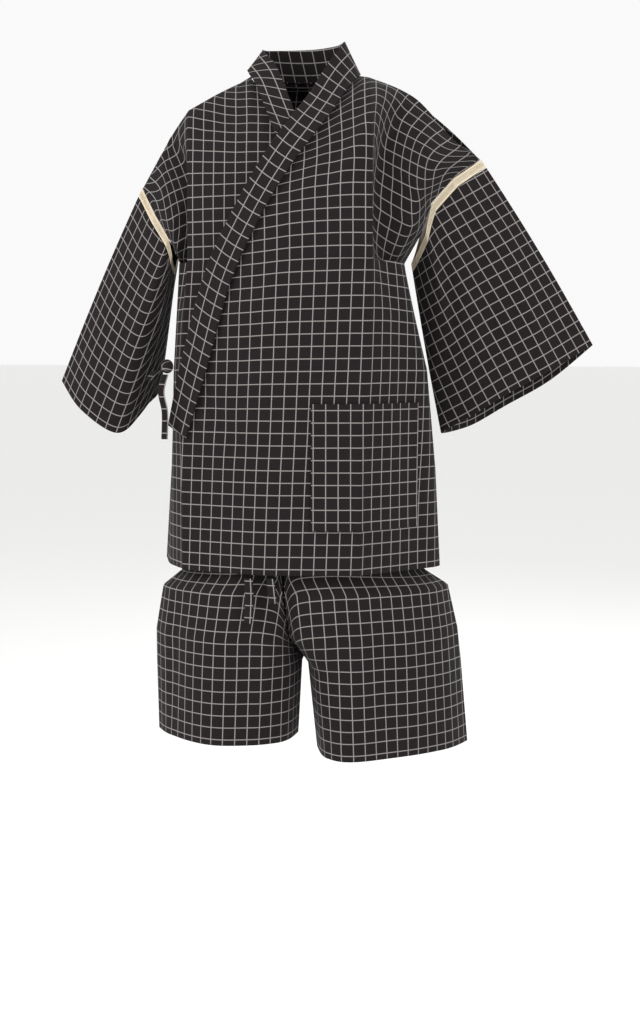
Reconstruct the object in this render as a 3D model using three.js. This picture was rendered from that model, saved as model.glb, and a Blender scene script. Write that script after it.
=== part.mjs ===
// Jinbei set: a kimono-cut jacket and shorts in the hollow form they take when worn.
// Millimetres, +Z up, origin at the base of the neck, the wearer's front towards -Y, left towards +X.
import * as THREE from "three";

const clothThickness = 1.4;
const bandThickness = 2.4;
const seamGap = 0.3;
const armPlaneTurn = THREE.MathUtils.degToRad(17); // both sleeves lie in a plane turned from the front
const hemHeight = -730;
const pitHeight = -265;
const laceWidth = 14;
const chestDepth = 122;
const layerStep = 11; // from the outer front to the inner one
const underarmClearance = 11;

const checkCloth = { color: 0x2f2a2c, roughness: 0.9, metalness: 0 };
const laceCotton = { color: 0xe1d2b9, roughness: 0.85, metalness: 0 };

const mix = (a, b, t) => a + (b - a) * t;
const clamp01 = (t) => Math.min(1, Math.max(0, t));
const mixPoint = (a, b, t) => a.map((value, i) => mix(value, b[i], t));
const softStep = (x, width = 30) => (x + Math.sqrt(x * x + width * width)) / 2;

// A point given across, fore and up in the arms' plane, turned to the wearer's own frame.
function turned([across, fore, up]) {
  const c = Math.cos(armPlaneTurn);
  const s = Math.sin(armPlaneTurn);
  return new THREE.Vector3(across * c + fore * s, across * s - fore * c, up);
}

// Catmull-Rom through rows of equal length, at t from 0 to 1 along the list.
function through(points, t) {
  const last = points.length - 1;
  const x = clamp01(t) * last;
  const i = Math.min(last - 1, Math.floor(x));
  const f = x - i;
  const p0 = points[Math.max(0, i - 1)];
  const p1 = points[i];
  const p2 = points[i + 1];
  const p3 = points[Math.min(last, i + 2)];
  return p1.map((_, k) => {
    const a = 2 * p1[k];
    const b = (p2[k] - p0[k]) * f;
    const c = (2 * p0[k] - 5 * p1[k] + 4 * p2[k] - p3[k]) * f * f;
    const d = (3 * p1[k] - p0[k] - 3 * p2[k] + p3[k]) * f * f * f;
    return (a + b + c + d) / 2;
  });
}

// Straight interpolation in a table at x, over the named key column.
function lookUp(table, key, x, column) {
  let i = 0;
  while (i < table.length - 2 && x > table[i + 1][key]) i++;
  const t = clamp01((x - table[i][key]) / (table[i + 1][key] - table[i][key]));
  const a = table[i][column];
  const b = table[i + 1][column];
  return Array.isArray(a) ? mixPoint(a, b, t) : mix(a, b, t);
}

// A closed wall from a grid of points: the outer face, the inner face a thickness inside, and the rims.
function wall(rowCount, columnCount, pointAt, thickness, wraps = false) {
  const points = [];
  const rows = rowCount + 1;
  const columns = wraps ? columnCount : columnCount + 1;
  for (let r = 0; r < rows; r++)
    for (let c = 0; c < columns; c++) points.push(pointAt(r / rowCount, c / columnCount));
  const at = (r, c) => points[r * columns + (wraps ? (c + columns) % columns : c)];
  const inner = points.map((point, index) => {
    const r = Math.floor(index / columns);
    const c = index % columns;
    const left = wraps ? at(r, c - 1) : at(r, Math.max(0, c - 1));
    const right = wraps ? at(r, c + 1) : at(r, Math.min(columns - 1, c + 1));
    const down = at(Math.min(rows - 1, r + 1), c).clone().sub(at(Math.max(0, r - 1), c));
    const normal = right.clone().sub(left).cross(down).normalize();
    return point.clone().addScaledVector(normal, thickness);
  });
  const positions = [...points, ...inner].flatMap((p) => [p.x, p.y, p.z]);
  const faces = [];
  const count = points.length;
  const quad = (a, b, c, d) => faces.push(a, b, c, a, c, d);
  const id = (r, c) => r * columns + (wraps ? c % columns : c);
  for (let r = 0; r < rowCount; r++)
    for (let c = 0; c < columnCount; c++) {
      quad(id(r, c), id(r, c + 1), id(r + 1, c + 1), id(r + 1, c));
      quad(count + id(r, c), count + id(r + 1, c), count + id(r + 1, c + 1), count + id(r, c + 1));
    }
  for (let c = 0; c < columnCount; c++) {
    quad(id(0, c), count + id(0, c), count + id(0, c + 1), id(0, c + 1));
    quad(id(rowCount, c), id(rowCount, c + 1), count + id(rowCount, c + 1), count + id(rowCount, c));
  }
  if (!wraps)
    for (let r = 0; r < rowCount; r++) {
      quad(id(r, 0), id(r + 1, 0), count + id(r + 1, 0), count + id(r, 0));
      quad(id(r, columnCount), count + id(r, columnCount), count + id(r + 1, columnCount), id(r + 1, columnCount));
    }
  return oriented(positions, faces);
}

// Turns every face round when the solid would otherwise be inside out.
function oriented(positions, faces) {
  let volume = 0;
  const p = (i) => new THREE.Vector3(...positions.slice(3 * i, 3 * i + 3));
  for (let i = 0; i < faces.length; i += 3)
    volume += p(faces[i]).dot(p(faces[i + 1]).cross(p(faces[i + 2])));
  if (volume < 0)
    for (let i = 0; i < faces.length; i += 3) [faces[i + 1], faces[i + 2]] = [faces[i + 2], faces[i + 1]];
  const geometry = new THREE.BufferGeometry();
  geometry.setAttribute("position", new THREE.Float32BufferAttribute(positions, 3));
  geometry.setIndex(faces);
  geometry.computeVertexNormals();
  return geometry;
}

const group = new THREE.Group();
function add(name, geometry, finish) {
  const mesh = new THREE.Mesh(geometry, new THREE.MeshStandardMaterial(finish));
  mesh.name = name;
  group.add(mesh);
}

// The armholes: from the shoulder fold (down 0) to the underarm, front and back, in the arms' plane.
const armholes = {
  left: [
    { down: 0, front: [268, -28, -111], back: [268, -30, -111] },
    { down: 0.25, front: [224, 2, -142], back: [224, -62, -142] },
    { down: 0.5, front: [190, 16, -180], back: [190, -80, -180] },
    { down: 0.75, front: [176, 12, -224], back: [172, -78, -224] },
    { down: 1, front: [152, -33, -268], back: [152, -36, -268] },
  ],
  right: [
    { down: 0, front: [-248, -28, -154], back: [-248, -30, -154] },
    { down: 0.25, front: [-226, 0, -196], back: [-226, -62, -192] },
    { down: 0.5, front: [-204, 14, -232], back: [-202, -80, -222] },
    { down: 0.75, front: [-194, 8, -258], back: [-190, -78, -248] },
    { down: 1, front: [-188, -33, -276], back: [-188, -36, -276] },
  ],
};

// The shoulder fold from the neck to the armhole.
const shoulderFolds = {
  left: [[77, -5, 8], [112, -6, 3], [148, -8, -12], [183, -12, -35], [229, -20, -75], [268, -29, -111]],
  right: [[-79, -5, 8], [-97, -5, -3], [-134, -7, -18], [-178, -10, -44], [-203, -18, -80], [-248, -29, -154]],
};

// The body's ring below the armpit: seams, pleat edges and the flat of the front and back.
const bodyRings = [
  { up: -268, rightSeam: [-188, -35], rightEdge: [-174, 60], front: 120, leftEdge: [98, 110], leftSide: [142, 45],
    leftSeam: [152, -35], back: -122 },
  { up: -430, rightSeam: [-198, -42], rightEdge: [-186, 54], front: 122, leftEdge: [92, 113], leftSide: [182, 28],
    leftSeam: [180, -42], back: -126 },
  { up: -580, rightSeam: [-210, -62], rightEdge: [-184, 54], front: 123, leftEdge: [84, 116], leftSide: [196, 20],
    leftSeam: [192, -44], back: -128 },
  { up: hemHeight, rightSeam: [-222, -88], rightEdge: [-185, 54], front: 122, leftEdge: [78, 118],
    leftSide: [204, 14], leftSeam: [200, -44], back: -132 },
];

// How far the front stands forward of the arms' plane at a place across and up.
function chestFore(across, up) {
  const fold = across < 0 ? shoulderFolds.right : shoulderFolds.left;
  let top = 8;
  for (let i = 0; i < fold.length - 1; i++) {
    const [a, b] = [Math.abs(fold[i][0]), Math.abs(fold[i + 1][0])];
    if (Math.abs(across) >= a) top = mix(fold[i][2], fold[i + 1][2], clamp01((Math.abs(across) - a) / (b - a)));
  }
  const q = clamp01((top - up) / (top + 250));
  const full = chestDepth - 0.55 * softStep(-62 - across) - 0.3 * softStep(across - 85);
  return -5 + (full + 5) * Math.sin((Math.PI / 2) * Math.pow(q, 0.62));
}

// The line the collar is sewn along on the left front: across and up, from the neck to the front edge.
const collarLine = [[77, 8], [60, -16], [30, -55], [5, -92], [-35, -140], [-80, -205], [-116, -290], [-158, -430],
  [-185, -520], [-185, -600], [-185, hemHeight]];

// The level of each row of the front's cloth, from the shoulder fold to the hem.
const frontLevels = [8, -18, -55, -92, -135, -180, -225, -268, -345, -430, -520, -625, hemHeight];

function collarAcross(up) {
  let i = 0;
  while (i < collarLine.length - 2 && up < collarLine[i + 1][1]) i++;
  const t = clamp01((up - collarLine[i][1]) / (collarLine[i + 1][1] - collarLine[i][1]));
  return mix(collarLine[i][0], collarLine[i + 1][0], t);
}

// The posts of one row of a front from its pleat edge to its side: the pleat tucks in under the edge.
function pleatPosts(side, t) {
  const sign = side === "left" ? 1 : -1;
  const seamColumn = side + "Seam";
  const edgeColumn = side + "Edge";
  const armRows = 7 / 12;
  if (t <= armRows) {
    const down = t / armRows;
    const up = through(frontLevels.map((level) => [level]), t)[0];
    const fold = shoulderFolds[side];
    const edgeAcross = side === "left" ? 98 : -174;
    const edgeTop = through(fold, side === "left" ? 0.17 : 0.58);
    const edgeUp = side === "left" ? Math.min(edgeTop[2], up) : mix(edgeTop[2], pitHeight, down);
    const edge = [edgeAcross, chestFore(edgeAcross, edgeUp - 1), edgeUp];
    const seam = lookUp(armholes[side], "down", down, "front");
    const shoulder = through(fold, side === "left" ? 0.5 : 0.8);
    const tuck = 26 * Math.sin(Math.PI * clamp01((down - 0.2) / 0.9));
    const middle = mixPoint(edge, seam, 0.35);
    const lift = (1 - down) ** 2;
    const inner = [
      mix(middle[0], shoulder[0], lift) - sign * tuck,
      mix(middle[1] - 12, shoulder[1], lift),
      mix(middle[2], shoulder[2], lift),
    ];
    const outer = mixPoint(edge, seam, 0.75);
    outer[1] += 10 * Math.sin(Math.PI * down);
    return [edge, inner, outer, seam];
  }
  const up = through(frontLevels.map((level) => [level]), t)[0];
  const edge = lookUp(bodyRings.map((row) => ({ ...row, key: -row.up })), "key", -up, edgeColumn);
  const seam = lookUp(bodyRings.map((row) => ({ ...row, key: -row.up })), "key", -up, seamColumn);
  const leftSide = lookUp(bodyRings.map((row) => ({ ...row, key: -row.up })), "key", -up, "leftSide");
  const bulge = side === "left" ? leftSide : [mix(edge[0], seam[0], 0.5) - 8, mix(edge[1], seam[1], 0.5)];
  const tuckLeft = clamp01((up + 350) / (pitHeight + 350)) * 10;
  return [
    [edge[0], edge[1], up],
    [mix(edge[0], bulge[0], 0.5) - sign * tuckLeft, mix(edge[1], bulge[1], 0.5) + 4, up],
    [bulge[0], bulge[1], up],
    [seam[0], seam[1], up],
  ];
}

// A front: t runs from the shoulder fold to the hem, s from the collar or front edge to the side.
function frontPoint(side, t, s, fullInset) {
  const inset = fullInset * clamp01(t * 8);
  const posts = pleatPosts(side, t);
  const up = through(frontLevels.map((level) => [level]), t)[0];
  const shareFlat = side === "left" ? 0.5 : 0.6;
  const start = side === "left" ? collarAcross(up) : Math.max(-collarAcross(up) - 6, -79);
  const startAcross = side === "left" ? start : Math.min(start, 40);
  if (s <= shareFlat) {
    const across = mix(startAcross, posts[0][0], s / shareFlat);
    const level = mix(up, posts[0][2], s / shareFlat);
    const fore = chestFore(across, level - 1);
    const edgeFix = (posts[0][1] - chestFore(posts[0][0], posts[0][2] - 1)) * (s / shareFlat) ** 2;
    return turned([across, fore + edgeFix - inset, level]);
  }
  const point = through(posts, (s - shareFlat) / (1 - shareFlat));
  const fade = 1 - (s - shareFlat) / (1 - shareFlat);
  return turned([point[0], point[1] - inset * fade, point[2]]);
}

const frontRows = 16;
const frontColumns = 16;
const trimmed = (value, low, high) => low + value * (1 - low - high);
add("jacket_front_left",
  wall(frontRows, frontColumns, (t, s) => frontPoint("left", trimmed(t, 0.006, 0), trimmed(s, 0, 0.006), 0),
    clothThickness), checkCloth);
add("jacket_front_right",
  wall(frontRows, frontColumns, (t, s) => frontPoint("right", trimmed(t, 0.006, 0), trimmed(s, 0, 0.006),
    layerStep), clothThickness), checkCloth);

// The back: t from the shoulder folds and neck to the hem, s from the right seam to the left seam.
const neckBack = [[-79, -8, 6], [-45, -48, 8], [0, -62, 8], [45, -48, 8], [77, -8, 6]];
function backPoint(t, s) {
  const armRows = 0.42;
  const top = s < 0.3 ? through([...shoulderFolds.right].reverse(), s / 0.3)
    : s > 0.7 ? through(shoulderFolds.left, (s - 0.7) / 0.3) : through(neckBack, (s - 0.3) / 0.4);
  const down = clamp01(t / armRows);
  const up = t <= armRows ? mix(0, -268, down) : mix(-268, hemHeight, (t - armRows) / (1 - armRows));
  const rings = bodyRings.map((row) => ({ ...row, key: -row.up }));
  const right = lookUp(rings, "key", -up, "rightSeam");
  const left = lookUp(rings, "key", -up, "leftSeam");
  const back = lookUp(rings, "key", -up, "back");
  const centre = mix(right[0], left[0], 0.5);
  const half = mix(left[0], -right[0], 0.5);
  const across = centre + half * Math.sin((s - 0.5) * Math.PI * 0.96) / Math.sin(0.48 * Math.PI);
  const round = Math.pow(Math.abs(Math.cos((s - 0.5) * Math.PI)), 0.7);
  const seamFore = s < 0.5 ? right[1] : left[1];
  const ring = [across, mix(seamFore, back, round), up];
  if (t > armRows) return ring;
  const side = s < 0.5 ? "right" : "left";
  const seam = lookUp(armholes[side], "down", down, "back");
  const edgeShare = clamp01(Math.abs(s - 0.5) * 2);
  const nearSeam = Math.pow(edgeShare, 3);
  const fall = Math.sin((Math.PI / 2) * Math.pow(down, 0.75));
  const base = [mix(top[0], ring[0], down), mix(top[1], mix(seamFore, back, round), fall), mix(top[2], up, down)];
  return mixPoint(base, seam, nearSeam);
}
add("jacket_back",
  wall(14, 24, (t, s) => turned(backPoint(trimmed(t, 0.006, 0), trimmed(s, 0.003, 0.003))), -clothThickness),
  checkCloth);

// The sleeves: rings that start at the armhole and end at the open cuff, ridge to underarm and back again.
const cuffs = {
  left: [[451, -70, -392], [385, -48, -430], [318, -42, -466], [255, -50, -502], [203, -72, -530],
    [262, -128, -520], [325, -140, -488], [392, -120, -448]],
  right: [[-383, -70, -448], [-348, -34, -492], [-290, -16, -527], [-250, -32, -500], [-216, -60, -456],
    [-236, -118, -476], [-296, -138, -512], [-352, -112, -490]],
};
function armholeRing(side, turn) {
  const x = ((turn % 1) + 1) % 1;
  return x <= 0.5 ? lookUp(armholes[side], "down", x * 2, "front")
    : lookUp(armholes[side], "down", (1 - x) * 2, "back");
}
function sleevePoint(side, along, turn) {
  const ring = armholeRing(side, turn);
  const cuffRing = [...cuffs[side], cuffs[side][0]];
  const cuff = through(cuffRing, ((turn % 1) + 1) % 1);
  const bow = 7 * Math.sin(Math.PI * along) * Math.cos(turn * 2 * Math.PI);
  const point = mixPoint(ring, cuff, along);
  const sign = side === "left" ? 1 : -1;
  const clear = sign * underarmClearance * Math.exp(-(((turn - 0.5) / 0.16) ** 2));
  return [point[0] + clear, point[1], point[2] + bow];
}
for (const side of ["left", "right"]) {
  const length = 300;
  const laceShare = laceWidth / length;
  const gapShare = seamGap / length;
  const reach = (from, to) => (t, s) => turned(sleevePoint(side, mix(from, to, t), s));
  const inward = side === "left" ? clothThickness : -clothThickness;
  add("lace_" + side, wall(1, 24, reach(0.006, laceShare), inward, true), laceCotton);
  add("sleeve_" + side, wall(8, 24, reach(laceShare + 2 * gapShare, 1), inward, true), checkCloth);
}

// The collar band: paired edges from the left front's end round the neck to the right front's end.
const lay = (across, up, proud) => [across, chestFore(across, up) + proud, up];
const overEnd = 6;
const underEnd = -1;
const collarStations = [
  { outer: lay(-176, -530, overEnd), inner: lay(-204, -512, overEnd) },
  { outer: lay(-144, -428, overEnd), inner: lay(-182, -414, overEnd) },
  { outer: lay(-106, -300, overEnd), inner: lay(-144, -284, overEnd) },
  { outer: lay(-60, -204, overEnd), inner: lay(-96, -186, overEnd) },
  { outer: lay(-18, -135, overEnd), inner: lay(-53, -112, overEnd) },
  { outer: lay(15, -90, overEnd), inner: lay(-22, -68, overEnd) },
  { outer: lay(40, -56, overEnd), inner: lay(8, -26, overEnd) },
  { outer: [66, 44, -14], inner: [38, 38, 24] },
  { outer: [82, 6, 16], inner: [58, 12, 54] },
  { outer: [62, -46, 16], inner: [48, -34, 58] },
  { outer: [18, -68, 16], inner: [16, -56, 57] },
  { outer: [-34, -62, 16], inner: [-26, -50, 54] },
  { outer: [-72, -36, 16], inner: [-54, -28, 49] },
  { outer: [-84, 4, 14], inner: [-60, 6, 42] },
  { outer: [-70, 42, -14], inner: [-40, 38, 14] },
  { outer: lay(-52, -62, underEnd + 4), inner: lay(-16, -50, underEnd) },
  { outer: lay(-34, -106, underEnd + 1), inner: lay(2, -88, underEnd - 3) },
  { outer: lay(-2, -160, -4.5), inner: lay(32, -142, -4.5) },
  { outer: lay(30, -226, -4.5), inner: lay(62, -212, -4.5) },
];
function bandPoint(t, s) {
  const pairs = collarStations.map((row) => [...row.outer, ...row.inner]);
  const both = through(pairs, t);
  return turned(mixPoint(both.slice(0, 3), both.slice(3), s));
}
add("collar", wall(40, 1, bandPoint, bandThickness), checkCloth);

// The patch pocket lies on the left front, its points moved out.
const pocket = { left: 10, right: 166, top: -478, bottom: -664, proud: 2.4 };
function pocketPoint(t, s) {
  const across = mix(pocket.left, pocket.right, s);
  const up = mix(pocket.top, pocket.bottom, t);
  const levels = frontLevels.map((level) => [level]);
  let low = 7 / 12;
  let high = 1;
  for (let i = 0; i < 24; i++) {
    const middle = (low + high) / 2;
    if (through(levels, middle)[0] > up) low = middle;
    else high = middle;
  }
  const posts = pleatPosts("left", low);
  const edge = posts[0][0];
  const point = across <= edge ? [across, chestFore(across, up - 1)
    + (posts[0][1] - chestFore(edge, up - 1)) * clamp01((across + 185) / (edge + 185)) ** 2, up]
    : through(posts, Math.min(1, (across - edge) / (posts[2][0] - edge)) * (2 / 3));
  return turned([point[0], point[1] + pocket.proud + clothThickness, up]);
}
add("pocket", wall(5, 8, pocketPoint, clothThickness), checkCloth);

// The outer tie: a knot at the right waist with its two hanging tails, as flat straps.
function strap(route, width, thickness) {
  return wall(route.length * 2, 1, (t, s) => {
    const p = through(route, t);
    return turned([p[0] + (s - 0.5) * width, p[1] + (s - 0.5) * 3, p[2]]);
  }, thickness);
}
const knot = new THREE.SphereGeometry(8, 10, 8);
knot.scale(1, 0.8, 1.2);
const knotPlace = turned([-204, 64, -424]);
knot.translate(knotPlace.x, knotPlace.y, knotPlace.z);
function welded(geometry) {
  const positions = [];
  const seen = new Map();
  const faces = [];
  const source = geometry.getAttribute("position");
  const index = geometry.getIndex();
  for (let i = 0; i < index.count; i++) {
    const k = index.getX(i);
    const p = [source.getX(k), source.getY(k), source.getZ(k)];
    const key = p.map((value) => value.toFixed(3)).join();
    if (!seen.has(key)) {
      seen.set(key, positions.length / 3);
      positions.push(...p);
    }
    faces.push(seen.get(key));
  }
  const kept = [];
  for (let i = 0; i < faces.length; i += 3) {
    const [a, b, c] = faces.slice(i, i + 3);
    if (a !== b && b !== c && a !== c) kept.push(a, b, c);
  }
  return oriented(positions, kept);
}
add("tie_knot", welded(knot), checkCloth);
add("tie_tail_front", strap([[-206, 66, -436], [-212, 68, -462], [-207, 67, -492], [-208, 67, -532]], 9, 2),
  checkCloth);
add("tie_tail_side", strap([[-219, 58, -430], [-227, 50, -436], [-234, 44, -444]], 9, 2), checkCloth);

// The shorts: each leg's posts at a level, from the centre front round the outside to the centre back.
const legRings = {
  left: [
    { up: -566, inner: [-30, 82], front: [50, 84], outer: [150, 2], back: [84, -90], rear: [28, -86] },
    { up: -738, inner: [-31, 94], front: [60, 98], outer: [184, -10], back: [98, -108], rear: [34, -100] },
    { up: -762, inner: [-31, 94], front: [72, 106], outer: [222, -10], back: [108, -118], rear: [34, -104] },
    { up: -830, inner: [-24, 66], front: [78, 110], outer: [238, -14], back: [112, -124], rear: [26, -80] },
    { up: -880, inner: [4, 6], front: [80, 110], outer: [244, -16], back: [114, -128], rear: [4, -8] },
    { up: -1012, inner: [18, 14], front: [84, 110], outer: [256, -20], back: [118, -132], rear: [18, -14] },
  ],
  right: [
    { up: -566, inner: [-31, 80], front: [-92, 74], outer: [-164, -6], back: [-76, -92], rear: [27, -86] },
    { up: -738, inner: [-32, 92], front: [-104, 84], outer: [-190, -12], back: [-86, -108], rear: [33, -100] },
    { up: -762, inner: [-32, 93], front: [-118, 94], outer: [-220, -10], back: [-92, -120], rear: [33, -104] },
    { up: -830, inner: [-25, 66], front: [-128, 98], outer: [-232, -14], back: [-96, -128], rear: [25, -80] },
    { up: -880, inner: [-4, 6], front: [-130, 98], outer: [-232, -16], back: [-98, -130], rear: [-4, -8] },
    { up: -990, inner: [-10, 14], front: [-134, 98], outer: [-230, -18], back: [-102, -132], rear: [-10, -14] },
  ],
};
function legPoint(side, half, t, s) {
  const rows = legRings[side].map((row) => ({ ...row, key: -row.up }));
  const depth = mix(rows[0].key, rows[rows.length - 1].key, t);
  const post = (column) => lookUp(rows, "key", depth, column);
  const lift = half === "front" ? 1 : -1;
  const [start, middle] = half === "front" ? ["inner", "front"] : ["rear", "back"];
  const a = post(start);
  const b = post(middle);
  const c = post("outer");
  const nearInner = [mix(a[0], b[0], 0.25), mix(a[1], b[1], 0.8)];
  const nearOuter = [mix(b[0], c[0], 0.72), mix(b[1], c[1], 0.55) + 4 * lift];
  const p = through([a, nearInner, b, nearOuter, c], s);
  const own = side === "left" ? 1 : -1;
  const clear = own * (1 - clamp01(s * 6)) * 1.2;
  return turned([p[0] + clear, p[1], -depth]);
}
for (const side of ["left", "right"])
  for (const half of ["front", "back"]) {
    const flips = (side === "left") !== (half === "front");
    add("shorts_" + half + "_" + side, wall(10, 10,
      (t, s) => legPoint(side, half, t, trimmed(s, 0.004, 0.014)),
      flips ? -clothThickness : clothThickness), checkCloth);
  }
const waist = { across: 170, fore: 96, centre: -6, top: -528, bottom: -562 };
add("waistband", wall(1, 32, (t, s) => {
  const angle = s * 2 * Math.PI;
  return turned([waist.centre + waist.across * Math.cos(angle), waist.fore * Math.sin(angle),
    mix(waist.top, waist.bottom, t)]);
}, bandThickness, true), checkCloth);

// The drawstring's two ends hang in front of the shorts.
add("drawstring_left", strap([[-50, 113, -735], [-48, 114, -752], [-46, 113, -772]], 11, 2), checkCloth);
add("drawstring_right", strap([[-82, 112, -735], [-81, 113, -765], [-83, 112, -802]], 12, 2), checkCloth);

export default group;
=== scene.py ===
import bpy, math
import numpy as np
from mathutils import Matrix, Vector


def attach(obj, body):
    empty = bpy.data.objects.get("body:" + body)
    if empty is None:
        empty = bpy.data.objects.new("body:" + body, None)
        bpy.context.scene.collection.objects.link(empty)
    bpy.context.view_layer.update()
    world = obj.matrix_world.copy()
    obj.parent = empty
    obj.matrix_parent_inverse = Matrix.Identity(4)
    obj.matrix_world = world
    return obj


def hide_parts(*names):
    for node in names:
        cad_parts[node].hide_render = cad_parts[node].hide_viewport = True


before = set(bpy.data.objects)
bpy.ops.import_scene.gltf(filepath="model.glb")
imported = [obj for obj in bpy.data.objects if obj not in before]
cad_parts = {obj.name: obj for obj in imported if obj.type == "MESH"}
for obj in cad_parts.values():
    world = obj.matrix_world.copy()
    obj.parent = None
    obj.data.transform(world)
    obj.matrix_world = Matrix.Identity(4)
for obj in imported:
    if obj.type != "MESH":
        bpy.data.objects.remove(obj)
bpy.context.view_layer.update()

mm = 0.001
turn = math.radians(17)  # both sleeves lie in a plane turned this far from the front

# camera first: eye level a little below the chest, turned as the arms' plane is
eye = {"place": (0.712, -2.25, -0.4), "lens": 54.14, "down": 6.0}
cameraData = bpy.data.cameras.new("camera")
cameraData.lens = eye["lens"]
camera = bpy.data.objects.new("camera", cameraData)
camera.location = eye["place"]
look = Vector((-math.sin(turn), math.cos(turn), -math.tan(math.radians(eye["down"]))))
camera.rotation_euler = look.to_track_quat("-Z", "Y").to_euler()
bpy.context.collection.objects.link(camera)
bpy.context.scene.camera = camera


# shared arithmetic, whole arrays at a time

# arms' plane (across, fore, up) in mm to the wearer's frame in metres: x is across by the turn's cosine
# plus fore by its sine, and y is across by the sine less fore by the cosine
def turned(p):
    c, s = math.cos(turn), math.sin(turn)
    x = p[..., 0] * c + p[..., 1] * s
    y = p[..., 0] * s - p[..., 1] * c
    return np.stack([x, y, p[..., 2]], -1) * mm


# a, plus the share t of the way to b
def mix(a, b, t):
    return a + (b - a) * t


# the same for rows of points, with one share for each point
def mixPoint(a, b, t):
    return a + (b - a) * np.asarray(t)[..., None]


# zero below and x above, rounded: half of x plus the root of x squared plus the width squared
def softStep(x, width=30.0):
    return (x + np.sqrt(x * x + width * width)) / 2


# one at the centre, falling as e to the minus square of the distance in widths
def bell(x, centre, width):
    return np.exp(-((x - centre) / width) ** 2)


# Catmull-Rom curve through a list of points, each a row or an array of rows: between two points it is
# the cubic whose slope at each of them is half the step between that point's neighbours
def through(points, t):
    pts = [np.asarray(p, float) for p in points]
    last = len(pts) - 1
    x = np.clip(t, 0, 1) * last
    i = np.minimum(last - 1, np.floor(x)).astype(int)
    f = (x - i)[..., None]
    shape = np.shape(t) + (pts[0].shape[-1],)
    stack = np.stack([np.broadcast_to(p, shape) for p in pts])
    pick = lambda k: np.take_along_axis(
        stack, np.broadcast_to(np.clip(k, 0, last)[..., None], shape)[None], 0)[0]
    a, b, c, d = pick(i - 1), pick(i), pick(i + 1), pick(i + 2)
    return (2 * b + (c - a) * f + (2 * a - 5 * b + 4 * c - d) * f ** 2 + (3 * b - a - 3 * c + d) * f ** 3) / 2


# straight interpolation in rows of values over keys
def table(keys, rows, x):
    rows = np.asarray(rows, float)
    return np.stack([np.interp(x, keys, rows[:, k]) for k in range(rows.shape[1])], -1)


# the two materials, as shader nodes

def node(tree, kind, place=(0, 0), **values):
    made = tree.nodes.new(kind)
    made.location = place
    for name, value in values.items():
        setattr(made, name, value)
    return made


def math2(tree, operation, a, b=None, clamp=False):
    made = node(tree, "ShaderNodeMath", operation=operation, use_clamp=clamp)
    for socket, value in zip(made.inputs, (a, b)):
        if value is None:
            continue
        if isinstance(value, (int, float)):
            socket.default_value = value
        else:
            tree.links.new(value, socket)
    return made.outputs[0]


cloth = {"pitch": 0.0182, "line": 0.0016, "yarn": 0.0009, "dark": (0.008, 0.006, 0.0066, 1),
         "warm": (0.017, 0.0128, 0.0134, 1), "pale": (0.33, 0.31, 0.30, 1),
         "full": 0.28, "fading": 0.3,  # shares of the line: full strength each way, then fading out
         "ply": 0.0026, "plyShare": 0.16, "lineShare": 0.78,
         "rough": 0.88, "shine": 0.12, "sheen": 0.03, "sheenRough": 0.5}
threads = {"slubScale": 420, "slubDetail": 4, "cloudScale": 38, "threadShare": 0.25, "slubShare": 0.7,
           "cloudShare": 0.3, "bump": 0.0004, "bumpStrength": 0.5}
laceLook = {"shade": (0.62, 0.5, 0.34, 1), "light": (0.82, 0.73, 0.56, 1), "rough": 0.85}


# height: a share of the two threads' sines, plus the slub; shade: shares of the slub and the cloud
def makeWeaveGroup():
    group = bpy.data.node_groups.new("plainWeave", "ShaderNodeTree")
    group.interface.new_socket("Vector", in_out="INPUT", socket_type="NodeSocketVector")
    group.interface.new_socket("Height", in_out="OUTPUT", socket_type="NodeSocketFloat")
    group.interface.new_socket("Shade", in_out="OUTPUT", socket_type="NodeSocketFloat")
    inside, out = node(group, "NodeGroupInput"), node(group, "NodeGroupOutput")
    split = node(group, "ShaderNodeSeparateXYZ")
    group.links.new(inside.outputs[0], split.inputs[0])
    rate = 2 * math.pi / cloth["yarn"]
    warp = math2(group, "SINE", math2(group, "MULTIPLY", split.outputs[0], rate))
    weft = math2(group, "SINE", math2(group, "MULTIPLY", split.outputs[1], rate))
    slub = node(group, "ShaderNodeTexNoise")
    slub.inputs["Scale"].default_value = threads["slubScale"]
    slub.inputs["Detail"].default_value = threads["slubDetail"]
    group.links.new(inside.outputs[0], slub.inputs["Vector"])
    cloud = node(group, "ShaderNodeTexNoise")
    cloud.inputs["Scale"].default_value = threads["cloudScale"]
    group.links.new(inside.outputs[0], cloud.inputs["Vector"])
    crossed = math2(group, "MULTIPLY", math2(group, "ADD", warp, weft), threads["threadShare"])
    height = math2(group, "ADD", crossed, slub.outputs["Fac"])
    group.links.new(height, out.inputs["Height"])
    shade = math2(group, "ADD", math2(group, "MULTIPLY", slub.outputs["Fac"], threads["slubShare"]),
                  math2(group, "MULTIPLY", cloud.outputs["Fac"], threads["cloudShare"]))
    group.links.new(shade, out.inputs["Shade"])
    return group


weaveGroup = makeWeaveGroup()


def makeMaterial(name):
    material = bpy.data.materials.new(name)
    material.use_nodes = True
    tree = material.node_tree
    uv = node(tree, "ShaderNodeUVMap", (-900, 0), uv_map="cut")
    weave = node(tree, "ShaderNodeGroup", (-700, -200), node_tree=weaveGroup)
    tree.links.new(uv.outputs[0], weave.inputs[0])
    shader = tree.nodes["Principled BSDF"]
    bump = node(tree, "ShaderNodeBump", (-200, -300))
    bump.inputs["Distance"].default_value = threads["bump"]
    bump.inputs["Strength"].default_value = threads["bumpStrength"]
    tree.links.new(weave.outputs["Height"], bump.inputs["Height"])
    tree.links.new(bump.outputs[0], shader.inputs["Normal"])
    return material, tree, uv, weave, shader


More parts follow.
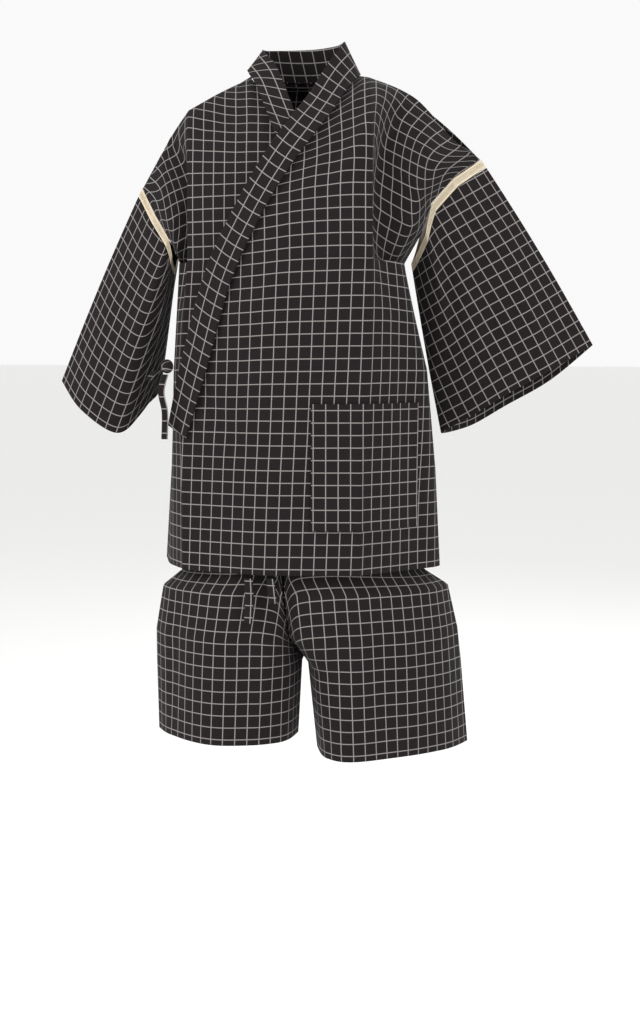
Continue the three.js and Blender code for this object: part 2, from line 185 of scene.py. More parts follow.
# black cotton with a thin pale line every check, along both threads: a line is one less its distance
# from the check's middle beyond the full share, over the fading share, and its strength ripples with the ply
def makeCheckCloth():
    material, tree, uv, weave, shader = makeMaterial("check_cloth")
    split = node(tree, "ShaderNodeSeparateXYZ")
    tree.links.new(uv.outputs[0], split.inputs[0])
    masks = []
    for here, along in ((0, 1), (1, 0)):
        cell = math2(tree, "FRACT", math2(tree, "DIVIDE", split.outputs[here], cloth["pitch"]))
        middle = math2(tree, "ABSOLUTE", math2(tree, "SUBTRACT", cell, 0.5))
        off = math2(tree, "MULTIPLY", middle, cloth["pitch"])
        beyond = math2(tree, "SUBTRACT", off, cloth["line"] * cloth["full"])
        faded = math2(tree, "DIVIDE", beyond, cloth["line"] * cloth["fading"], True)
        line = math2(tree, "SUBTRACT", 1.0, faded, True)
        turns = math2(tree, "MULTIPLY", split.outputs[along], 2 * math.pi / cloth["ply"])
        ripple = math2(tree, "MULTIPLY", math2(tree, "SINE", turns), cloth["plyShare"])
        strength = math2(tree, "ADD", ripple, cloth["lineShare"])
        masks.append(math2(tree, "MULTIPLY", line, strength))
    mask = math2(tree, "MAXIMUM", masks[0], masks[1])
    ground = node(tree, "ShaderNodeMix", data_type="RGBA")
    ground.inputs[6].default_value = cloth["dark"]
    ground.inputs[7].default_value = cloth["warm"]
    tree.links.new(weave.outputs["Shade"], ground.inputs[0])
    lined = node(tree, "ShaderNodeMix", data_type="RGBA")
    lined.inputs[7].default_value = cloth["pale"]
    tree.links.new(mask, lined.inputs[0])
    tree.links.new(ground.outputs[2], lined.inputs[6])
    tree.links.new(lined.outputs[2], shader.inputs["Base Color"])
    shader.inputs["Roughness"].default_value = cloth["rough"]
    shader.inputs["Specular IOR Level"].default_value = cloth["shine"]
    shader.inputs["Sheen Weight"].default_value = cloth["sheen"]
    shader.inputs["Sheen Roughness"].default_value = cloth["sheenRough"]
    return material


def makeLace():  # cream cotton, for the tapes and the openwork
    material, tree, _, weave, shader = makeMaterial("lace")
    colour = node(tree, "ShaderNodeMix", data_type="RGBA")
    colour.inputs[6].default_value = laceLook["shade"]
    colour.inputs[7].default_value = laceLook["light"]
    tree.links.new(weave.outputs["Shade"], colour.inputs[0])
    tree.links.new(colour.outputs[2], shader.inputs["Base Color"])
    shader.inputs["Roughness"].default_value = laceLook["rough"]
    return material


checkCloth, laceCotton = makeCheckCloth(), makeLace()
print("materials made")


# sheets: a grid of points, its cut coordinates as the UV map, a solid wall inside the face

walls = {"body": 0.9, "lace": 0.8, "knot": 1.0, "pocket": 1.4, "strap": 1.8, "band": 2.2}  # mm


# one mesh from several grids; the wall grows inwards, and a minus thickness turns it to the other side
def meshFromGrids(name, grids, material, thickness, cuts):
    points, faces, uvs, base = [], [], [], 0
    for grid, cut in zip(grids, cuts):
        rows, columns = grid.shape[:2]
        ids = base + np.arange(rows * columns).reshape(rows, columns)
        points.append(grid.reshape(-1, 3))
        uvs.append(cut.reshape(-1, 2))
        faces.append(np.stack([ids[:-1, :-1], ids[:-1, 1:], ids[1:, 1:], ids[1:, :-1]], -1).reshape(-1, 4))
        base += rows * columns
    points, faces, uvs = np.concatenate(points), np.concatenate(faces), np.concatenate(uvs)
    mesh = bpy.data.meshes.new(name)
    mesh.from_pydata(points, [], faces.tolist())
    layer = mesh.uv_layers.new(name="cut")
    layer.data.foreach_set("uv", uvs[faces.reshape(-1)].astype(np.float32).reshape(-1))
    mesh.polygons.foreach_set("use_smooth", np.ones(len(faces), bool))
    mesh.materials.append(material)
    piece = bpy.data.objects.new(name, mesh)
    bpy.context.collection.objects.link(piece)
    if thickness:
        solid = piece.modifiers.new("wall", "SOLIDIFY")
        solid.thickness = abs(thickness) * mm
        solid.offset = -1 if thickness > 0 else 1
    return piece


# cut coordinates: distance along each row from one column, and along each column from one row
def cutOf(grid, column=0, row=-1):
    across = np.linalg.norm(np.diff(grid, axis=1), axis=2)
    down = np.linalg.norm(np.diff(grid, axis=0), axis=2)
    u = np.concatenate([np.zeros((grid.shape[0], 1)), np.cumsum(across, 1)], 1)
    v = np.concatenate([np.zeros((1, grid.shape[1])), np.cumsum(down, 0)], 0)
    return np.stack([u - u[:, [column]], v - v[[row], :]], -1)


# The piece is parented to the root, and the imported part that it replaces is hidden.
def dress(piece, nodeName):
    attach(piece, "root")
    if nodeName:
        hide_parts(nodeName)


def gridOf(rows, columns):
    return np.meshgrid(np.linspace(0, 1, rows + 1), np.linspace(0, 1, columns + 1), indexing="ij")


# the jacket's form, in mm in the arms' plane (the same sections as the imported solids)

armholeDown = [0, 0.25, 0.5, 0.75, 1]
armholes = {
    "left": {"front": [(268, -28, -111), (224, 2, -142), (190, 16, -180), (176, 12, -224), (152, -33, -268)],
             "back": [(268, -30, -111), (224, -62, -142), (190, -80, -180), (172, -78, -224),
                      (152, -36, -268)]},
    "right": {"front": [(-248, -28, -154), (-226, 0, -196), (-204, 14, -232), (-194, 8, -258),
                        (-188, -33, -276)],
              "back": [(-248, -30, -154), (-226, -62, -192), (-202, -80, -222), (-190, -78, -248),
                       (-188, -36, -276)]}}
shoulderFolds = {  # (across, fore, up) from the neck to the armhole
    "left": [(77, -5, 8), (112, -6, 3), (148, -8, -12), (183, -12, -35), (229, -20, -75), (268, -29, -111)],
    "right": [(-79, -5, 8), (-97, -5, -3), (-134, -7, -18), (-178, -10, -44), (-203, -18, -80),
              (-248, -29, -154)]}
hemUp = -730
rings = {"key": [268, 430, 580, 730],  # mm down, and (across, fore) of each line at those depths
         "rightSeam": [(-188, -35), (-198, -42), (-210, -62), (-222, -88)],
         "rightEdge": [(-174, 60), (-186, 54), (-184, 54), (-185, 54)],
         "leftEdge": [(98, 110), (92, 113), (84, 116), (78, 118)],
         "leftSide": [(142, 45), (182, 28), (196, 20), (204, 14)],
         "leftSeam": [(152, -35), (180, -42), (192, -44), (200, -44)],
         "back": [(-122,), (-126,), (-128,), (-132,)]}
frontLevels = [8, -18, -55, -92, -135, -180, -225, -268, -345, -430, -520, -625, hemUp]
collarLine = [(77, 8), (60, -16), (30, -55), (5, -92), (-35, -140), (-80, -205), (-116, -290), (-158, -430),
              (-185, -520), (-185, -600), (-185, hemUp)]


def ring(name, up):
    return table(rings["key"], rings[name], -up)


chest = {"foldFore": -5, "fore": 122, "down": 250, "power": 0.62,
         "rightFrom": -62, "rightFall": 0.55, "leftFrom": 85, "leftFall": 0.3}


# fore of the chest: from the shoulder fold forwards by the sine of a quarter turn times a power of the
# share of the way down, times the full depth less what rounds away at both sides
def chestFore(across, up):
    tops = []
    for side in ("right", "left"):
        fold = np.array(shoulderFolds[side])
        tops.append(np.interp(np.abs(across), np.abs(fold[:, 0]), fold[:, 2]))
    top = np.where(across < 0, tops[0], tops[1])
    q = np.clip((top - up) / (top + chest["down"]), 0, 1)
    full = chest["fore"] - chest["rightFall"] * softStep(chest["rightFrom"] - across) \
        - chest["leftFall"] * softStep(across - chest["leftFrom"])
    return chest["foldFore"] + (full - chest["foldFore"]) * np.sin(math.pi / 2 * q ** chest["power"])


# height of the front's row t, from the shoulder at 0 to the hem at 1
def levelAt(t):
    return through([[level] for level in frontLevels], t)[..., 0]


frontForm = {
    "armRows": 7 / 12, "tuck": 26, "tuckFrom": 0.2, "tuckOver": 0.9, "innerShare": 0.35, "innerBack": 12,
    "outerShare": 0.75, "outerFore": 10, "rightEdgeUp": -265, "lowTuck": 10, "lowTuckUp": -350,
    "lowTuckOver": 85, "rightBulge": -8, "nearFore": 4,
    "left": {"edge": 98.0, "edgeOnFold": 0.17, "innerOnFold": 0.5, "flat": 0.5, "inset": 0, "cutColumn": 75,
             "foldShare": 1},
    "right": {"edge": -174.0, "edgeOnFold": 0.58, "innerOnFold": 0.8, "flat": 0.6, "inset": 11,
              "cutColumn": 90, "foldShare": 0.6, "back": 6, "least": -79, "most": 40}}


# four points across a front's side, from the edge of its flat part to the side seam. Down to the underarm
# they are the edge, two points at shares of the way to the armhole, and the armhole; the inner one rises
# to the shoulder fold and is pushed over by the tuck. Below, they follow the rings.
def posts(side, t):
    form = frontForm[side]
    sign = 1 if side == "left" else -1
    armRows = frontForm["armRows"]
    down = np.clip(t / armRows, 0, 1)
    up = levelAt(t)
    top = through(shoulderFolds[side], np.full(t.shape, form["edgeOnFold"]))
    edgeAcross = np.full(t.shape, form["edge"])
    fallen = mix(top[..., 2], frontForm["rightEdgeUp"], down)
    edgeUp = np.minimum(top[..., 2], up) if side == "left" else fallen
    edge = np.stack([edgeAcross, chestFore(edgeAcross, edgeUp - 1), edgeUp], -1)
    seam = table(armholeDown, armholes[side]["front"], down)
    shoulder = through(shoulderFolds[side], np.full(t.shape, form["innerOnFold"]))
    tucked = np.clip((down - frontForm["tuckFrom"]) / frontForm["tuckOver"], 0, 1)
    tuck = frontForm["tuck"] * np.sin(math.pi * tucked)
    lift = (1 - down) ** 2
    inner = mixPoint(edge, seam, np.full(t.shape, frontForm["innerShare"]))
    inner[..., 1] -= frontForm["innerBack"] * (1 - lift)
    inner = mixPoint(inner, shoulder, lift)
    inner[..., 0] -= sign * tuck
    outer = mixPoint(edge, seam, np.full(t.shape, frontForm["outerShare"]))
    outer[..., 1] += frontForm["outerFore"] * np.sin(math.pi * down)
    upper = [edge, inner, outer, seam]
    lowEdge, lowSeam = ring(side + "Edge", up), ring(side + "Seam", up)
    halfway = (lowEdge + lowSeam) / 2 + np.array([frontForm["rightBulge"], 0])
    bulge = ring("leftSide", up) if side == "left" else halfway
    tuckLeft = np.clip((up - frontForm["lowTuckUp"]) / frontForm["lowTuckOver"], 0, 1) * frontForm["lowTuck"]
    near = (lowEdge + bulge) / 2 + np.stack([-sign * tuckLeft, 0 * tuckLeft + frontForm["nearFore"]], -1)
    lower = [np.concatenate([p, up[..., None]], -1) for p in (lowEdge, near, bulge, lowSeam)]
    arm = (t <= armRows)[..., None]
    return [np.where(arm, a, b) for a, b in zip(upper, lower)]


# a front: over the flat share of its columns, level rows from the collar's line to the edge post at the
# chest's depth, with the edge's own difference eased in by the square of the share; then the posts' curve.
# The inner front lies the inset behind, which fades in below the shoulder.
def frontGrid(side, t, s):
    form = frontForm[side]
    inset = form["inset"] * np.clip(t * 8, 0, 1)
    four = posts(side, t)
    up = levelAt(t)
    flat = form["flat"]
    line = np.array(collarLine)[::-1]
    collar = np.interp(up, line[:, 1], line[:, 0])
    if side == "left":
        start = collar
    else:
        start = np.minimum(np.maximum(-collar - form["back"], form["least"]), form["most"])
    share = np.clip(s / flat, 0, 1)
    across = mix(start, four[0][..., 0], share)
    level = mix(up, four[0][..., 2], share)
    fix = (four[0][..., 1] - chestFore(four[0][..., 0], four[0][..., 2] - 1)) * share ** 2
    body = np.stack([across, chestFore(across, level - 1) + fix - inset, level], -1)
    reach = np.clip((s - flat) / (1 - flat), 0, 1)
    sideways = through(four, reach)
    sideways[..., 1] -= inset * (1 - reach)
    return np.where((s <= flat)[..., None], body, sideways)


foldReach = 0.62  # half of a fold's length over which it fades, as a share of the line


# soft folds: a ridge or trough along a line, as wide as its width, fading at both ends
folds = [  # across and up at one end, at the other, height and half-width in mm
    {"from": (122, -8), "to": (52, -150), "high": 5.0, "wide": 13},
    {"from": (96, 0), "to": (30, -170), "high": -4.0, "wide": 12},
    {"from": (150, -25), "to": (84, -165), "high": -5.0, "wide": 12},
    {"from": (76, -470), "to": (82, -725), "high": 3.5, "wide": 7},
    {"from": (-140, -350), "to": (40, -300), "high": 2.5, "wide": 22},
    {"from": (-60, -200), "to": (80, -250), "high": 2.0, "wide": 26},
    {"from": (-165, -440), "to": (-90, -560), "high": -3.0, "wide": 16},
    {"from": (10, -560), "to": (-20, -728), "high": -2.5, "wide": 26},
    {"from": (150, -380), "to": (170, -725), "high": -4.0, "wide": 18},
    {"from": (-150, -120), "to": (-120, -260), "high": 2.5, "wide": 16}]


# for each fold, its height times a fade along the line (one less the square of the distance from its
# middle) times a bell across it
def foldHeight(p, rows):
    total = np.zeros(p.shape[:-1])
    for row in rows:
        a, b = np.array(row["from"], float), np.array(row["to"], float)
        d = b - a
        rel = np.stack([p[..., 0], p[..., 2]], -1) - a
        along = (rel @ d) / (d @ d)
        off = (rel[..., 0] * d[1] - rel[..., 1] * d[0]) / np.hypot(*d)
        fade = np.clip(1 - ((along - 0.5) / foldReach) ** 2, 0, 1)
        total += row["high"] * fade * bell(off, 0, row["wide"])
    return total


fine = {"rows": 190, "columns": 150}
seamShare = {"shoulder": 0.004, "side": 0.002, "rest": 0.996}  # gaps at seams, as shares of a panel
t, s = gridOf(fine["rows"], fine["columns"])
t = seamShare["shoulder"] + t * seamShare["rest"]
for side in ("left", "right"):
    form = frontForm[side]
    p = frontGrid(side, t, s * seamShare["rest"])
    p[..., 1] += foldHeight(p, folds) * np.clip(t * 6, 0, 1) * form["foldShare"]
    grid = turned(p)
    cut = cutOf(grid, form["cutColumn"])
    piece = meshFromGrids("front_" + side, [grid], checkCloth, walls["body"], [cut])
    dress(piece, "jacket_front_" + side)
print("fronts made")


# the back: heights of its own folds, measured away from the wearer
neckBack = [(-79, -8, 6), (-45, -48, 8), (0, -62, 8), (45, -48, 8), (77, -8, 6)]
backFolds = [{"from": (-150, -150), "to": (-95, -330), "high": 5, "wide": 16},
             {"from": (140, -120), "to": (90, -320), "high": 5, "wide": 15},
             {"from": (-60, -380), "to": (-90, -720), "high": -4, "wide": 24},
             {"from": (40, -330), "to": (70, -725), "high": 4, "wide": 26},
             {"from": (-120, -60), "to": (110, -90), "high": 2.5, "wide": 18}]


backForm = {"armRows": 0.42, "shoulder": 0.3, "neck": 0.4, "neckEnd": 0.7, "armholeUp": -268, "wrap": 0.96,
            "roundness": 0.7, "fall": 0.75}


# the back: below the underarm a sine across between the seams, as deep as a power of its cosine. Above,
# each row goes from the shoulders and the neck down to that, and near the sides it turns to the armhole.
def backGrid(t, s):
    arm, end = backForm["armRows"], backForm["neckEnd"]
    rightTop = through(shoulderFolds["right"][::-1], np.clip(s / backForm["shoulder"], 0, 1))
    leftTop = through(shoulderFolds["left"], np.clip((s - end) / backForm["shoulder"], 0, 1))
    neckTop = through(neckBack, np.clip((s - backForm["shoulder"]) / backForm["neck"], 0, 1))
    top = np.where((s < backForm["shoulder"])[..., None], rightTop,
                   np.where((s > end)[..., None], leftTop, neckTop))
    down = np.clip(t / arm, 0, 1)
    up = np.where(t <= arm, mix(0, backForm["armholeUp"], down),
                  mix(backForm["armholeUp"], hemUp, (t - arm) / (1 - arm)))
    right, left, back = ring("rightSeam", up), ring("leftSeam", up), ring("back", up)[..., 0]
    centre = (right[..., 0] + left[..., 0]) / 2
    half = (left[..., 0] - right[..., 0]) / 2
    swing = np.sin((s - 0.5) * math.pi * backForm["wrap"])
    across = centre + half * swing / math.sin(backForm["wrap"] / 2 * math.pi)
    rounded = np.abs(np.cos((s - 0.5) * math.pi)) ** backForm["roundness"]
    seamFore = np.where(s < 0.5, right[..., 1], left[..., 1])
    low = np.stack([across, mix(seamFore, back, rounded), up], -1)
    seam = np.where((s < 0.5)[..., None], table(armholeDown, armholes["right"]["back"], down),
                    table(armholeDown, armholes["left"]["back"], down))
    near = np.clip(np.abs(s - 0.5) * 2, 0, 1) ** 3
    fall = np.sin(math.pi / 2 * down ** backForm["fall"])
    base = np.stack([mix(top[..., 0], low[..., 0], down), mix(top[..., 1], low[..., 1], fall),
                     mix(top[..., 2], up, down)], -1)
    return np.where((t > arm)[..., None], low, mixPoint(base, seam, near))


t, s = gridOf(fine["rows"], fine["columns"])
p = backGrid(seamShare["shoulder"] + t * seamShare["rest"], seamShare["side"] + s * seamShare["rest"])
p[..., 1] -= foldHeight(p, backFolds) * np.clip(t * 6, 0, 1)
grid = turned(p)
piece = meshFromGrids("back", [grid], checkCloth, -walls["body"], [cutOf(grid, fine["columns"] // 2)])
dress(piece, "jacket_back")
print("back made")

# sleeves and lace
cuffs = {"left": [(451, -70, -392), (385, -48, -430), (318, -42, -466), (255, -50, -502), (203, -72, -530),
                  (262, -128, -520), (325, -140, -488), (392, -120, -448)],
         "right": [(-383, -70, -448), (-348, -34, -492), (-290, -16, -527), (-250, -32, -500),
                   (-216, -60, -456), (-236, -118, -476), (-296, -138, -512), (-352, -112, -490)]}
sleeveFolds = {"left": [{"from": (300, -190), "to": (372, -420), "high": 5, "wide": 15},
                        {"from": (205, -235), "to": (235, -420), "high": -6, "wide": 13},
                        {"from": (250, -180), "to": (300, -440), "high": -3, "wide": 14}],
               "right": [{"from": (-215, -250), "to": (-300, -500), "high": 4, "wide": 12},
                         {"from": (-240, -220), "to": (-330, -440), "high": -3.5, "wide": 14}]}
sleeveForm = {"rows": 130, "columns": 200, "gap": 0.002, "clear": 11, "clearOver": 0.16, "ridge": 7,
              "last": 1 - 1e-9}
# shares are of the lace's own width, and the area is what it states over what its faces measure
lace = {"wide": 14, "length": 300, "tapes": ((0.05, 0.24), (0.76, 0.95)), "tapeColumns": 220,
        "phases": (0.0, 0.5, 0.25, 0.75), "cordColumns": 880, "waves": 34, "swing": 0.3, "cord": 0.15,
        "least": 0.0006, "area": 1.35}


# a sleeve: straight lines from the armhole to the cuff, raised along its length by a ridge on top. At
# the underarm it is moved clear of the body by a bell, and its folds push it outwards.
def sleeveGrid(side, along, around):
    x = around % 1.0
    front = table(armholeDown, armholes[side]["front"], np.clip(x * 2, 0, 1))
    back = table(armholeDown, armholes[side]["back"], np.clip((1 - x) * 2, 0, 1))
    start = np.where((x <= 0.5)[..., None], front, back)
    cuff = through(cuffs[side] + cuffs[side][:1], x)
    p = mixPoint(start, cuff, along)
    sign = 1 if side == "left" else -1
    p[..., 0] += sign * sleeveForm["clear"] * bell(x, 0.5, sleeveForm["clearOver"])
    p[..., 2] += sleeveForm["ridge"] * np.sin(math.pi * along) * np.cos(2 * math.pi * around)
    outward = np.where(x < 0.5, 1, -1) * np.sin(2 * math.pi * np.minimum(x, 1 - x)) ** 0.5
    p[..., 1] += outward * foldHeight(p, sleeveFolds[side]) * np.clip(along * 4, 0, 1)
    return p


for side in ("left", "right"):
    inward = 1 if side == "left" else -1
    share = lace["wide"] / lace["length"]
    gap = sleeveForm["gap"]
    t, s = gridOf(sleeveForm["rows"], sleeveForm["columns"])
    grid = turned(sleeveGrid(side, share + gap + t * (1 - gap - share), np.minimum(s, sleeveForm["last"])))
    cut = cutOf(grid, 0)
    piece = meshFromGrids("sleeve_cloth_" + side, [grid], checkCloth, inward * walls["body"], [cut])
    dress(piece, "sleeve_" + side)
    # two tapes and four zigzag cords between them, each a flat ribbon round the armhole; they cross
    ribbons = []
    for low, high in lace["tapes"]:
        a, b = gridOf(1, lace["tapeColumns"])
        ribbons.append((low + a * (high - low), b))
    for phase in lace["phases"]:
        a, b = gridOf(1, lace["cordColumns"])
        saw = 2 * np.abs(2 * ((b * lace["waves"] + phase) % 1.0) - 1) - 1
        ribbons.append((0.5 + lace["swing"] * saw + (a - 0.5) * lace["cord"], b))
    laceGrids = [turned(sleeveGrid(side, np.clip(share * a, lace["least"], 1),
                                   np.minimum(b, sleeveForm["last"]))) for a, b in ribbons]
    piece = meshFromGrids("lace_band_" + side, laceGrids, laceCotton, inward * walls["lace"],
                          [cutOf(g) for g in laceGrids])
    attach(piece, "root")
    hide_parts("lace_" + side)
print("sleeves and lace made")


# collar band: each pair is its outer and its inner edge, from the left hem over the neck
# a point that stands proud of the chest by so many mm
def lay(across, up, proud):
    return (across, float(chestFore(np.array(float(across)), np.array(float(up)))) + proud, up)


collarPairs = [
    (lay(-176, -530, 6), lay(-204, -512, 6)), (lay(-144, -428, 6), lay(-182, -414, 6)),
    (lay(-106, -300, 6), lay(-144, -284, 6)), (lay(-60, -204, 6), lay(-96, -186, 6)),
    (lay(-18, -135, 6), lay(-53, -112, 6)), (lay(15, -90, 6), lay(-22, -68, 6)),
    (lay(40, -56, 6), lay(8, -26, 6)), ((66, 44, -14), (38, 38, 24)), ((82, 6, 8), (58, 12, 54)),
    ((62, -46, 3), (48, -34, 58)), ((18, -70, 1), (16, -56, 57)), ((-34, -64, 2), (-26, -50, 54)),
    ((-72, -36, 5), (-54, -28, 49)), ((-84, 4, 14), (-60, 6, 42)), ((-70, 42, -14), (-40, 38, 14)),
    (lay(-52, -62, 3), lay(-16, -50, -1)), (lay(-34, -106, 0), lay(2, -88, -4)),
    (lay(-2, -160, -4.5), lay(32, -142, -4.5)), (lay(30, -226, -4.5), lay(62, -212, -4.5))]
collarRows, collarColumns = 420, 16
t, s = gridOf(collarRows, collarColumns)
both = through([a + b for a, b in collarPairs], t)
grid = turned(mixPoint(both[..., :3], both[..., 3:], s))
piece = meshFromGrids("collar_band", [grid], checkCloth, walls["band"],
                      [cutOf(grid, collarColumns // 2, collarRows // 2)])
dress(piece, "collar")
print("collar made")

# pocket: its points are the left front's, moved out
pocket = {"left": 10, "right": 166, "top": -478, "bottom": -664, "proud": 3.4, "hem": 18, "hemHigh": 0.7,
          "hemWide": 2.0, "rows": 70, "columns": 60, "frontStart": -185, "levels": 400, "most": 1.4,
          "cutFrom": (0.006, 0.004)}
t, s = gridOf(pocket["rows"], pocket["columns"])
across, up = mix(pocket["left"], pocket["right"], s), mix(pocket["top"], pocket["bottom"], t)
levels = np.linspace(frontForm["armRows"], 1, pocket["levels"])
rowOf = np.interp(-up, -levelAt(levels), levels)
four = posts("left", rowOf)
edge = four[0]
share = np.clip((across - pocket["frontStart"]) / (edge[..., 0] - pocket["frontStart"]), 0, 1) ** 2
fix = (edge[..., 1] - chestFore(edge[..., 0], up - 1)) * share
flatPart = np.stack([across, chestFore(across, up - 1) + fix, up], -1)
beyond = (across - edge[..., 0]) / (four[2][..., 0] - edge[..., 0])
sidePart = through(four, np.clip(beyond, 0, pocket["most"]) * 2 / 3)
p = np.where((across <= edge[..., 0])[..., None], flatPart, sidePart)
p[..., 1] += pocket["proud"] + foldHeight(p, folds)
down = t * (pocket["top"] - pocket["bottom"])
p[..., 1] += pocket["hemHigh"] * bell(down, pocket["hem"], pocket["hemWide"])
grid = turned(p)
cut = cutOf(grid, 0) + np.array(pocket["cutFrom"])
piece = meshFromGrids("patch_pocket", [grid], checkCloth, walls["pocket"], [cut])
dress(piece, "pocket")
print("jacket made")


# straps: tie tails and drawstring ends
strapForm = {"rows": 40, "columns": 4, "tilt": 3, "crown": 0.8, "leastStated": 10.5}


def strap(name, route, width, nodeName):
    t, s = gridOf(strapForm["rows"], strapForm["columns"])
    p = through(route, t)
    p[..., 0] += (s - 0.5) * width
    p[..., 1] += (s - 0.5) * strapForm["tilt"] + strapForm["crown"] * np.sin(math.pi * s)
    grid = turned(p)
    piece = meshFromGrids(name, [grid], checkCloth, walls["strap"], [cutOf(grid)])
    dress(piece, nodeName)


strap("tie_front", [(-206, 66, -436), (-212, 68, -462), (-207, 67, -492), (-208, 67, -532)], 9,
      "tie_tail_front")
strap("tie_side", [(-219, 58, -430), (-227, 50, -436), (-234, 44, -444)], 9, "tie_tail_side")
strap("string_left", [(-50, 113, -735), (-48, 114, -752), (-46, 113, -772)], 11, "drawstring_left")
strap("string_right", [(-82, 112, -735), (-81, 113, -765), (-83, 112, -802)], 12, "drawstring_right")

# the knot: an ellipsoid whose girth is pinched twice round, by the cosine of two turns
knot = {"rows": 24, "columns": 36, "across": -204, "fore": 64, "up": -424, "wide": 8, "deep": 7,
        "high": 9.5, "open": 0.96, "pinch": 0.14, "pinchTurn": 1.2}
t, s = gridOf(knot["rows"], knot["columns"])
angle, rise = s * 2 * math.pi, (t - 0.5) * math.pi * knot["open"]
girth = np.cos(rise) * (1 + knot["pinch"] * np.cos(2 * angle + knot["pinchTurn"]))
p = np.stack([knot["across"] + knot["wide"] * girth * np.cos(angle),
              knot["fore"] - knot["deep"] * girth * np.sin(angle),
              knot["up"] - knot["high"] * np.sin(rise)], -1)
grid = turned(p)
piece = meshFromGrids("tie_bow", [grid], checkCloth, walls["knot"], [cutOf(grid)])
dress(piece, "tie_knot")
print("ties made")

# shorts: rows of (across, fore) at each depth in key, for five lines down each leg
legs = {
    "left": {"key": [566, 738, 762, 830, 880, 1012],
             "inner": [(-30, 82), (-31, 94), (-31, 94), (-24, 66), (4, 6), (18, 14)],
             "front": [(50, 84), (60, 98), (72, 106), (78, 110), (80, 110), (84, 110)],
             "outer": [(150, 2), (184, -10), (222, -10), (238, -14), (244, -16), (256, -20)],
             "back": [(84, -90), (98, -108), (108, -118), (112, -124), (114, -128), (118, -132)],
             "rear": [(28, -86), (34, -100), (34, -104), (26, -80), (4, -8), (18, -14)]},
    "right": {"key": [566, 738, 762, 830, 880, 990],
              "inner": [(-31, 80), (-32, 92), (-32, 93), (-25, 66), (-4, 6), (-10, 14)],
              "front": [(-92, 74), (-104, 84), (-118, 94), (-128, 98), (-130, 98), (-134, 98)],
              "outer": [(-164, -6), (-190, -12), (-220, -10), (-232, -14), (-232, -16), (-230, -18)],
              "back": [(-76, -92), (-86, -108), (-92, -120), (-96, -128), (-98, -130), (-102, -132)],
              "rear": [(27, -86), (33, -100), (33, -104), (25, -80), (-4, -8), (-10, -14)]}}
legFolds = [{"from": (-195, -760), "to": (-205, -985), "high": -7, "wide": 14},
            {"from": (-50, -790), "to": (-72, -985), "high": 4, "wide": 16},
            {"from": (-120, -745), "to": (-90, -800), "high": -3.5, "wide": 18},
            {"from": (60, -770), "to": (40, -1000), "high": -4, "wide": 18},
            {"from": (150, -760), "to": (175, -1005), "high": 4, "wide": 24},
            {"from": (110, -800), "to": (120, -1005), "high": -3, "wide": 20}]


legForm = {"rows": 120, "columns": 100, "side": 0.004, "rest": 0.982, "gap": 1.2,
           "nearInner": (0.25, 0.8), "nearOuter": (0.72, 0.55), "fore": 4}


# half a leg: at each depth a curve through the inner line, a point near it, the middle line, a point near
# the outer one, and the outer line. Its folds fade out at both seams.
def legGrid(side, half, t, s):
    leg = legs[side]
    depth = mix(leg["key"][0], leg["key"][-1], t)
    at = lambda name: table(leg["key"], leg[name], depth)
    lift = 1 if half == "front" else -1
    a, b, c = at("inner" if half == "front" else "rear"), at(half), at("outer")
    near, far = legForm["nearInner"], legForm["nearOuter"]
    nearInner = np.stack([mix(a[..., 0], b[..., 0], near[0]), mix(a[..., 1], b[..., 1], near[1])], -1)
    nearOuter = np.stack([mix(b[..., 0], c[..., 0], far[0]),
                          mix(b[..., 1], c[..., 1], far[1]) + legForm["fore"] * lift], -1)
    p = through([a, nearInner, b, nearOuter, c], s)
    own = 1 if side == "left" else -1
    apart = own * (1 - np.clip(s * 6, 0, 1)) * legForm["gap"]
    p = np.stack([p[..., 0] + apart, p[..., 1], -depth], -1)
    p[..., 1] += lift * foldHeight(p, legFolds) * np.clip(s * 5, 0, 1) * np.clip((1 - s) * 5, 0, 1)
    return p


for side in ("left", "right"):
    for half in ("front", "back"):
        t, s = gridOf(legForm["rows"], legForm["columns"])
        grid = turned(legGrid(side, half, t, legForm["side"] + s * legForm["rest"]))
        flips = (side == "left") != (half == "front")
        wall = -walls["body"] if flips else walls["body"]
        piece = meshFromGrids("leg_" + half + "_" + side, [grid], checkCloth, wall,
                              [cutOf(grid, legForm["columns"] // 2)])
        dress(piece, "shorts_" + half + "_" + side)

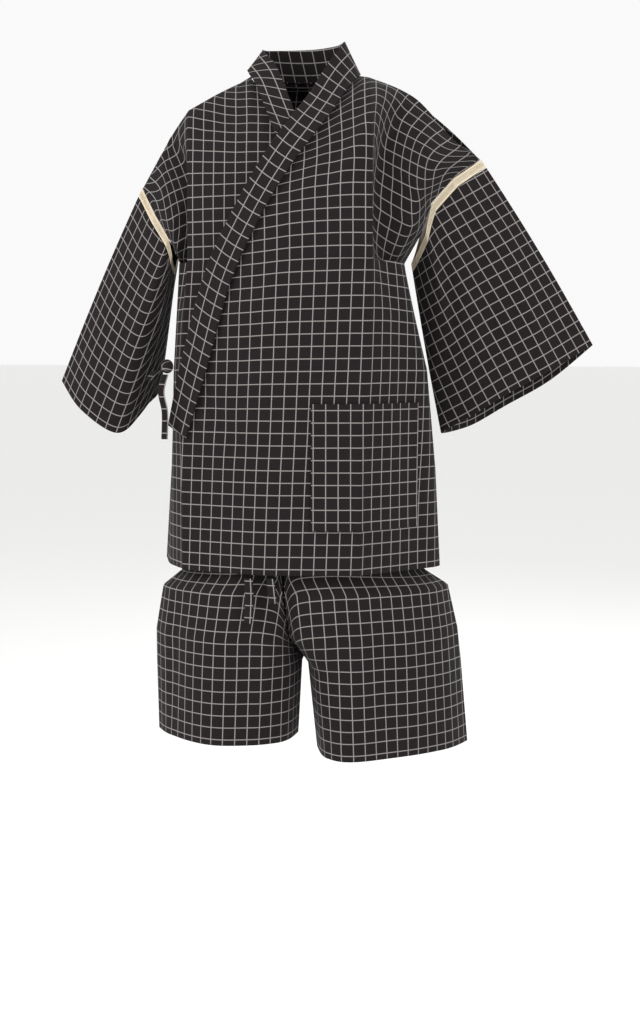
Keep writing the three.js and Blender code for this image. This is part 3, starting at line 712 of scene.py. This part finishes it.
# the waistband: an ellipse, gathered by a small sine round it
waist = {"across": 170, "fore": 96, "centre": -6, "top": -528, "bottom": -562, "gathers": 46,
         "gathered": 0.012, "rows": 10, "columns": 368}
t, s = gridOf(waist["rows"], waist["columns"])
angle = s * 2 * math.pi
ruffle = 1 + waist["gathered"] * np.sin(waist["gathers"] * angle)
grid = turned(np.stack([waist["centre"] + waist["across"] * ruffle * np.cos(angle),
                        waist["fore"] * ruffle * np.sin(angle), mix(waist["top"], waist["bottom"], t)], -1))
piece = meshFromGrids("waist_band", [grid], checkCloth, walls["band"], [cutOf(grid)])
dress(piece, "waistband")
print("shorts made")

# floor and soft light
studio = {"floorUp": -1.37, "floorHalf": 90, "floorColour": (0.85, 0.85, 0.84, 1), "world": 0.95,
          "aim": (0, 0, -0.5)}
lights = [{"name": "key", "place": (-1.8, -2.6, 1.6), "size": 2.0, "power": 70},
          {"name": "fill", "place": (2.6, -1.8, 0.6), "size": 2.2, "power": 35},
          {"name": "back", "place": (0.5, 2.4, 1.5), "size": 1.8, "power": 30}]
mesh = bpy.data.meshes.new("floor")
far, up = studio["floorHalf"], studio["floorUp"]
mesh.from_pydata([(-far, -far, up), (far, -far, up), (far, far, up), (-far, far, up)], [], [(0, 1, 2, 3)])
floor = bpy.data.objects.new("floor", mesh)
pale = bpy.data.materials.new("pale_floor")
pale.use_nodes = True
pale.node_tree.nodes["Principled BSDF"].inputs["Base Color"].default_value = studio["floorColour"]
mesh.materials.append(pale)
bpy.context.collection.objects.link(floor)
world = bpy.data.worlds.new("studio")
world.use_nodes = True
world.node_tree.nodes["Background"].inputs[0].default_value = (1, 1, 1, 1)
world.node_tree.nodes["Background"].inputs[1].default_value = studio["world"]
bpy.context.scene.world = world
for row in lights:
    light = bpy.data.lights.new(row["name"], "AREA")
    light.size = row["size"]
    light.energy = row["power"]
    lamp = bpy.data.objects.new(row["name"], light)
    lamp.location = row["place"]
    lamp.rotation_euler = (Vector(studio["aim"]) - Vector(row["place"])).to_track_quat("-Z", "Y").to_euler()
    bpy.context.collection.objects.link(lamp)
bpy.context.scene.view_settings.view_transform = "Standard"
print("light made")
